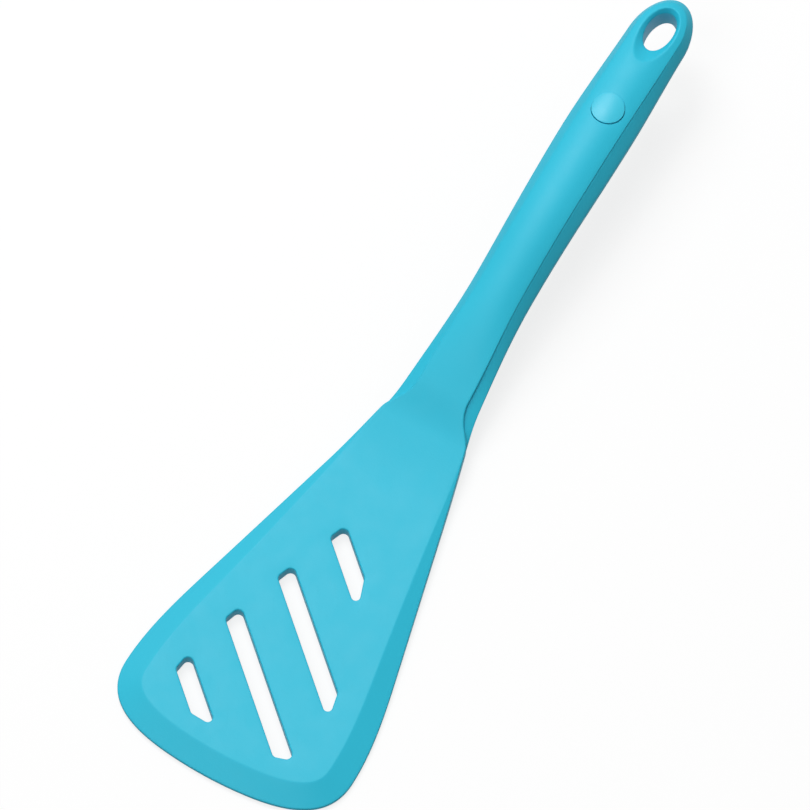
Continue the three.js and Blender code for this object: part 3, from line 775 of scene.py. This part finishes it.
def make_back():
    """Flanks and underside of the handle, with the channel that the face is seated in."""
    sheet = Sheet("silicone_handle_back")
    power = 2 / BACK_ROUNDNESS
    end_half = HANDLE_END_WIDTH / 2
    hole_half, hole_reach = HOLE_WIDTH / 2, HOLE_LENGTH / 2

    def profile(outer, seam, axis, inner, widest, below, flank_top):
        """One row, from the middle of the underside or the bore's rim, round the flank, to the floor of
        the channel. The first four are points in plan, and the others are heights."""
        span = (outer - axis).length
        inner_share = (inner - axis).length / span
        most = math.acos(min(1.0, inner_share ** (1 / power))) if inner_share > 0 else math.pi / 2
        row = []

        def belly(turn):
            share = max(0.0, math.cos(turn)) ** power
            z = widest - below * math.sin(turn) ** power
            return share, z

        if inner_share > 0:
            z = belly(most)[1]
            row.append((*inner, z + BORE_UNDER_RIM))
            step_share = inner_share + BORE_UNDER_RIM_STEP / span
            row.append((*axis.lerp(outer, step_share), z + BORE_UNDER_RIM_STEP))
            most = math.acos((inner_share + BORE_UNDER_RIM / span) ** (1 / power))
        else:
            row += [(*axis, widest - below)] * 2
        for turn in steps(most, 0, BELLY_STEPS):
            share, z = belly(turn)
            row.append((*axis.lerp(outer, share), z))
        wall = seam.lerp(outer, SEAM_GAP / max(SEAM_GAP, (outer - seam).length))
        control_z = lerp(flank_top, widest, FLANK_FULLNESS)
        for t in FLANK_SHARES:
            plan = wall.lerp(outer, 1 - (1 - t) ** 2)
            z = (1 - t) ** 2 * flank_top + 2 * t * (1 - t) * control_z + t * t * widest
            row.append((*plan, z))
        row.append((*wall, flank_top - SEAM_LIP))
        row.append((*wall, plate_bottom(wall.y) - SEAM_GAP))
        row.append((*inner, plate_bottom(inner.y) - SEAM_GAP))
        return row

    def straight(y, side):
        half = handle_half_width(y)
        depth = handle_depth(y)
        into = (y - hole_y) / hole_reach
        inner_x = hole_half * math.sqrt(max(0.0, 1 - into * into)) if y > hole_start_y else 0.0
        seam_half = min(face_half_at(y), half - SEAM_GAP - SEAM_WALL)
        return profile(
            outer=Vector((side * half, y)),
            seam=Vector((side * seam_half, y)),
            axis=Vector((0, y)),
            inner=Vector((side * inner_x, y)),
            widest=top_height(y) - depth / 2,
            below=depth / 2,
            flank_top=flank_top_height(y),
        )

    def bore_share(out):
        """How far along a line out from the start of the rounded end the bore's edge is met."""
        back = (end_round_y - hole_y) / hole_reach
        across, along = out.x / hole_half, out.y / hole_reach
        square = across * across + along * along
        slant = back * along
        return (math.sqrt(slant * slant + square * (1 - back * back)) - slant) / square

    def round_end(angle):
        outer = ellipse_point(end_round_y, end_half, HANDLE_END_ROUND, angle)
        outer.x *= handle_half_width(outer.y) / end_half
        seam = face_end_point(angle)
        axis = Vector((0, end_round_y))
        return profile(
            outer=outer,
            seam=seam,
            axis=axis,
            inner=axis + (outer - axis) * bore_share(outer - axis),
            widest=top_height(end_round_y) - HANDLE_END_DEPTH / 2,
            below=HANDLE_END_DEPTH / 2,
            flank_top=flank_top_height(seam.y),
        )

    places = places_along(back_start_y - BACK_TIP, THROAT_Y, ROW_SPACING / 2)[:-1]
    places += places_along(THROAT_Y, hole_start_y, ROW_SPACING)
    bore_end = math.acos((hole_y - end_round_y) / hole_reach)
    places += [hole_y - hole_reach * math.cos(a) for a in steps(0, bore_end, BORE_ROWS)[1:-1]]
    rows = [straight(y, 1) for y in places]
    rows += [round_end(angle) for angle in steps(0, math.pi, END_ROWS)]
    rows += [straight(y, -1) for y in reversed(places)]
    made = [sheet.add(row) for row in rows]
    for row_a, row_b in zip(made, made[1:]):
        sheet.strip(row_a, row_b, is_closed=False)
    bore_first = next(i for i, y in enumerate(places) if y >= hole_start_y - SAME_PLACE)
    bore_rows = made[bore_first:len(made) - bore_first]
    for row_a, row_b in zip(bore_rows, bore_rows[1:]):
        sheet.faces.append((row_a[-1], row_b[-1], row_b[0], row_a[0]))
    sheet.faces.append(tuple(made[0] + made[-1][::-1]))
    return sheet.make()


def make_badge():
    """Plain domed disc with a rounded edge, seated in the handle's face."""
    sheet = Sheet("badge_dome")
    radius = BADGE_DIAMETER / 2
    base = [badge_loop(radius * share, -BADGE_DEPTH) for share in DISC_BASE_SHARES]
    domed = []
    for turn in steps(math.pi / 2, 0, FILLET_STEPS + 2):
        inset, drop = fillet(BADGE_RADIUS, turn)
        domed.append(badge_loop(radius - inset, BADGE_PROUD - drop))
    top = radius - BADGE_RADIUS
    for share in DISC_TOP_SHARES:
        domed.append(badge_loop(top * share, BADGE_PROUD + BADGE_DOME * (1 - share * share)))
    flatter = [
        [(x, y, z + BADGE_FLATTER * (top_height(y) - face_height(x, y))) for x, y, z in loop]
        for loop in domed
    ]
    sheet.tube(base + flatter)
    return sheet.make()


def shader(name):
    material = bpy.data.materials.new(name)
    material.use_nodes = True
    nodes = material.node_tree.nodes
    return material, nodes, material.node_tree.links, nodes["Principled BSDF"]


def noise(nodes, links, scale, detail):
    place = nodes.new("ShaderNodeTexCoord")
    texture = nodes.new("ShaderNodeTexNoise")
    texture.inputs["Scale"].default_value = scale
    texture.inputs["Detail"].default_value = detail
    links.new(place.outputs["Object"], texture.inputs["Vector"])
    return texture.outputs["Fac"]


def spread_over(nodes, links, value, low, high):
    """Spreads the usual range of a noise over the range from low to high."""
    ramp = nodes.new("ShaderNodeMapRange")
    ramp.inputs["From Min"].default_value = NOISE_LOW
    ramp.inputs["From Max"].default_value = NOISE_HIGH
    ramp.inputs["To Min"].default_value = low
    ramp.inputs["To Max"].default_value = high
    links.new(value, ramp.inputs["Value"])
    return ramp.outputs["Result"]


def moulded(name, colour, roughness, grain, metallic=0.0, specular=0.5):
    """Moulded or drawn surface: faint cloudy colour, uneven gloss and a fine grain."""
    material, nodes, links, principled = shader(name)
    principled.inputs["Metallic"].default_value = metallic
    principled.inputs["Specular IOR Level"].default_value = specular
    cloud = noise(nodes, links, CLOUD_SCALE, CLOUD_DETAIL)
    mix = nodes.new("ShaderNodeMix")
    mix.data_type = "RGBA"
    mix.inputs["A"].default_value = (*[c * (1 - CLOUD_SHADE) for c in colour], 1)
    mix.inputs["B"].default_value = (*[min(1.0, c * (1 + CLOUD_SHADE)) for c in colour], 1)
    links.new(cloud, mix.inputs["Factor"])
    links.new(mix.outputs["Result"], principled.inputs["Base Color"])
    gloss = noise(nodes, links, GLOSS_SCALE, GLOSS_DETAIL)
    uneven = spread_over(nodes, links, gloss, roughness - GLOSS_SPREAD, roughness + GLOSS_SPREAD)
    links.new(uneven, principled.inputs["Roughness"])
    bump = nodes.new("ShaderNodeBump")
    bump.inputs["Strength"].default_value = grain
    bump.inputs["Distance"].default_value = GRAIN_DEPTH
    links.new(noise(nodes, links, GRAIN_SCALE, GRAIN_DETAIL), bump.inputs["Height"])
    links.new(bump.outputs["Normal"], principled.inputs["Normal"])
    return material


silicone = moulded(
    "satin_silicone", colour=(0.021, 0.508, 0.692), roughness=0.5, grain=0.1, specular=0.34,
)
badge_finish = moulded(
    "semi_gloss_disc", colour=(0.045, 0.56, 0.745), roughness=0.33, grain=0.02, specular=0.32,
)
steel = moulded("stainless_sheet", colour=(0.46, 0.48, 0.5), roughness=0.34, grain=0.2, metallic=1.0)
nylon = moulded("moulded_nylon", colour=(0.04, 0.05, 0.054), roughness=0.55, grain=0.3)


def dress(piece, material):
    piece.data.materials.clear()
    piece.data.materials.append(material)


for piece, material, node, slot in (
    (make_face(), silicone, "blade_and_handle_face", "silicone_face"),
    (make_back(), silicone, "handle_back", "silicone_back"),
    (make_badge(), badge_finish, "badge_disc", "disc"),
):
    dress(piece, material)
    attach(piece, "root")
    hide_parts(node)
for node, material in (
    ("blade_insert", steel),
    ("handle_core", nylon),
    ("tang_rivet_front", steel),
    ("tang_rivet_rear", steel),
):
    dress(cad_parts[node], material)


def shown_to_camera(nodes, links):
    """1 for rays from the camera and for what it sees by reflection or through glass, otherwise 0."""
    path = nodes.new("ShaderNodeLightPath")
    seen = nodes.new("ShaderNodeMath")
    seen.operation = "ADD"
    links.new(path.outputs["Is Camera Ray"], seen.inputs[0])
    links.new(path.outputs["Is Transmission Ray"], seen.inputs[1])
    shown = nodes.new("ShaderNodeMath")
    shown.operation = "MAXIMUM"
    links.new(seen.outputs["Value"], shown.inputs[0])
    links.new(path.outputs["Is Glossy Ray"], shown.inputs[1])
    return shown.outputs["Value"]


def make_floor():
    mesh = bpy.data.meshes.new("floor")
    signs = ((-1, -1), (1, -1), (1, 1), (-1, 1))
    corners = [(x * FLOOR_REACH, y * FLOOR_REACH, FLOOR_Z) for x, y in signs]
    mesh.from_pydata(corners, [], [(0, 1, 2, 3)])
    plane = bpy.data.objects.new("floor", mesh)
    bpy.context.scene.collection.objects.link(plane)
    material, nodes, links, principled = shader("pale_floor")
    principled.inputs["Base Color"].default_value = FLOOR_COLOUR
    principled.inputs["Roughness"].default_value = FLOOR_ROUGHNESS
    principled.inputs["Specular IOR Level"].default_value = 0.0
    glow = nodes.new("ShaderNodeEmission")
    glow.inputs["Color"].default_value = WHITE
    level = nodes.new("ShaderNodeMath")
    level.operation = "MULTIPLY"
    level.inputs[1].default_value = FLOOR_GLOW
    links.new(shown_to_camera(nodes, links), level.inputs[0])
    links.new(level.outputs["Value"], glow.inputs["Strength"])
    both = nodes.new("ShaderNodeAddShader")
    links.new(principled.outputs["BSDF"], both.inputs[0])
    links.new(glow.outputs["Emission"], both.inputs[1])
    links.new(both.outputs["Shader"], nodes["Material Output"].inputs["Surface"])
    dress(plane, material)
    return plane


floor = make_floor()


def make_world():
    world = bpy.data.worlds.new("studio")
    bpy.context.scene.world = world
    world.use_nodes = True
    nodes = world.node_tree.nodes
    links = world.node_tree.links
    background = nodes["Background"]
    background.inputs["Color"].default_value = WHITE
    level = nodes.new("ShaderNodeMapRange")
    level.inputs["To Min"].default_value = WORLD_LEVEL
    level.inputs["To Max"].default_value = 1.0
    links.new(shown_to_camera(nodes, links), level.inputs["Value"])
    links.new(level.outputs["Result"], background.inputs["Strength"])


def make_camera():
    lens = bpy.data.cameras.new("camera")
    lens.lens = LENS
    lens.sensor_width = SENSOR
    lens.clip_start = CLIP_START
    lens.clip_end = CLIP_END
    camera = bpy.data.objects.new("camera", lens)
    bpy.context.scene.collection.objects.link(camera)
    camera.rotation_euler = Euler((VIEW_TILT, 0.0, VIEW_TURN), "XYZ")
    view_back = camera.rotation_euler.to_matrix() @ Vector((0, 0, 1))
    camera.location = VIEW_CENTRE + view_back * (VIEW_WIDTH * LENS / SENSOR)
    bpy.context.scene.camera = camera


def softbox(name, direction, size, energy):
    light = bpy.data.lights.new(name, "AREA")
    light.shape = "DISK"
    light.size = size
    light.energy = energy
    lamp = bpy.data.objects.new(name, light)
    bpy.context.scene.collection.objects.link(lamp)
    aim = Vector(direction).normalized()
    lamp.location = VIEW_CENTRE + aim * LAMP_DISTANCE
    lamp.rotation_euler = aim.to_track_quat("Z", "Y").to_euler()


make_world()
make_camera()
softbox("key", direction=(-0.44, 0.34, 0.85), size=1.0, energy=14.4)
softbox("overhead", direction=(-0.16, 0.28, 0.94), size=0.8, energy=5.8)
softbox("fill", direction=(-0.14, -0.45, 0.88), size=1.0, energy=6.5)

bpy.context.scene.view_settings.view_transform = "Standard"
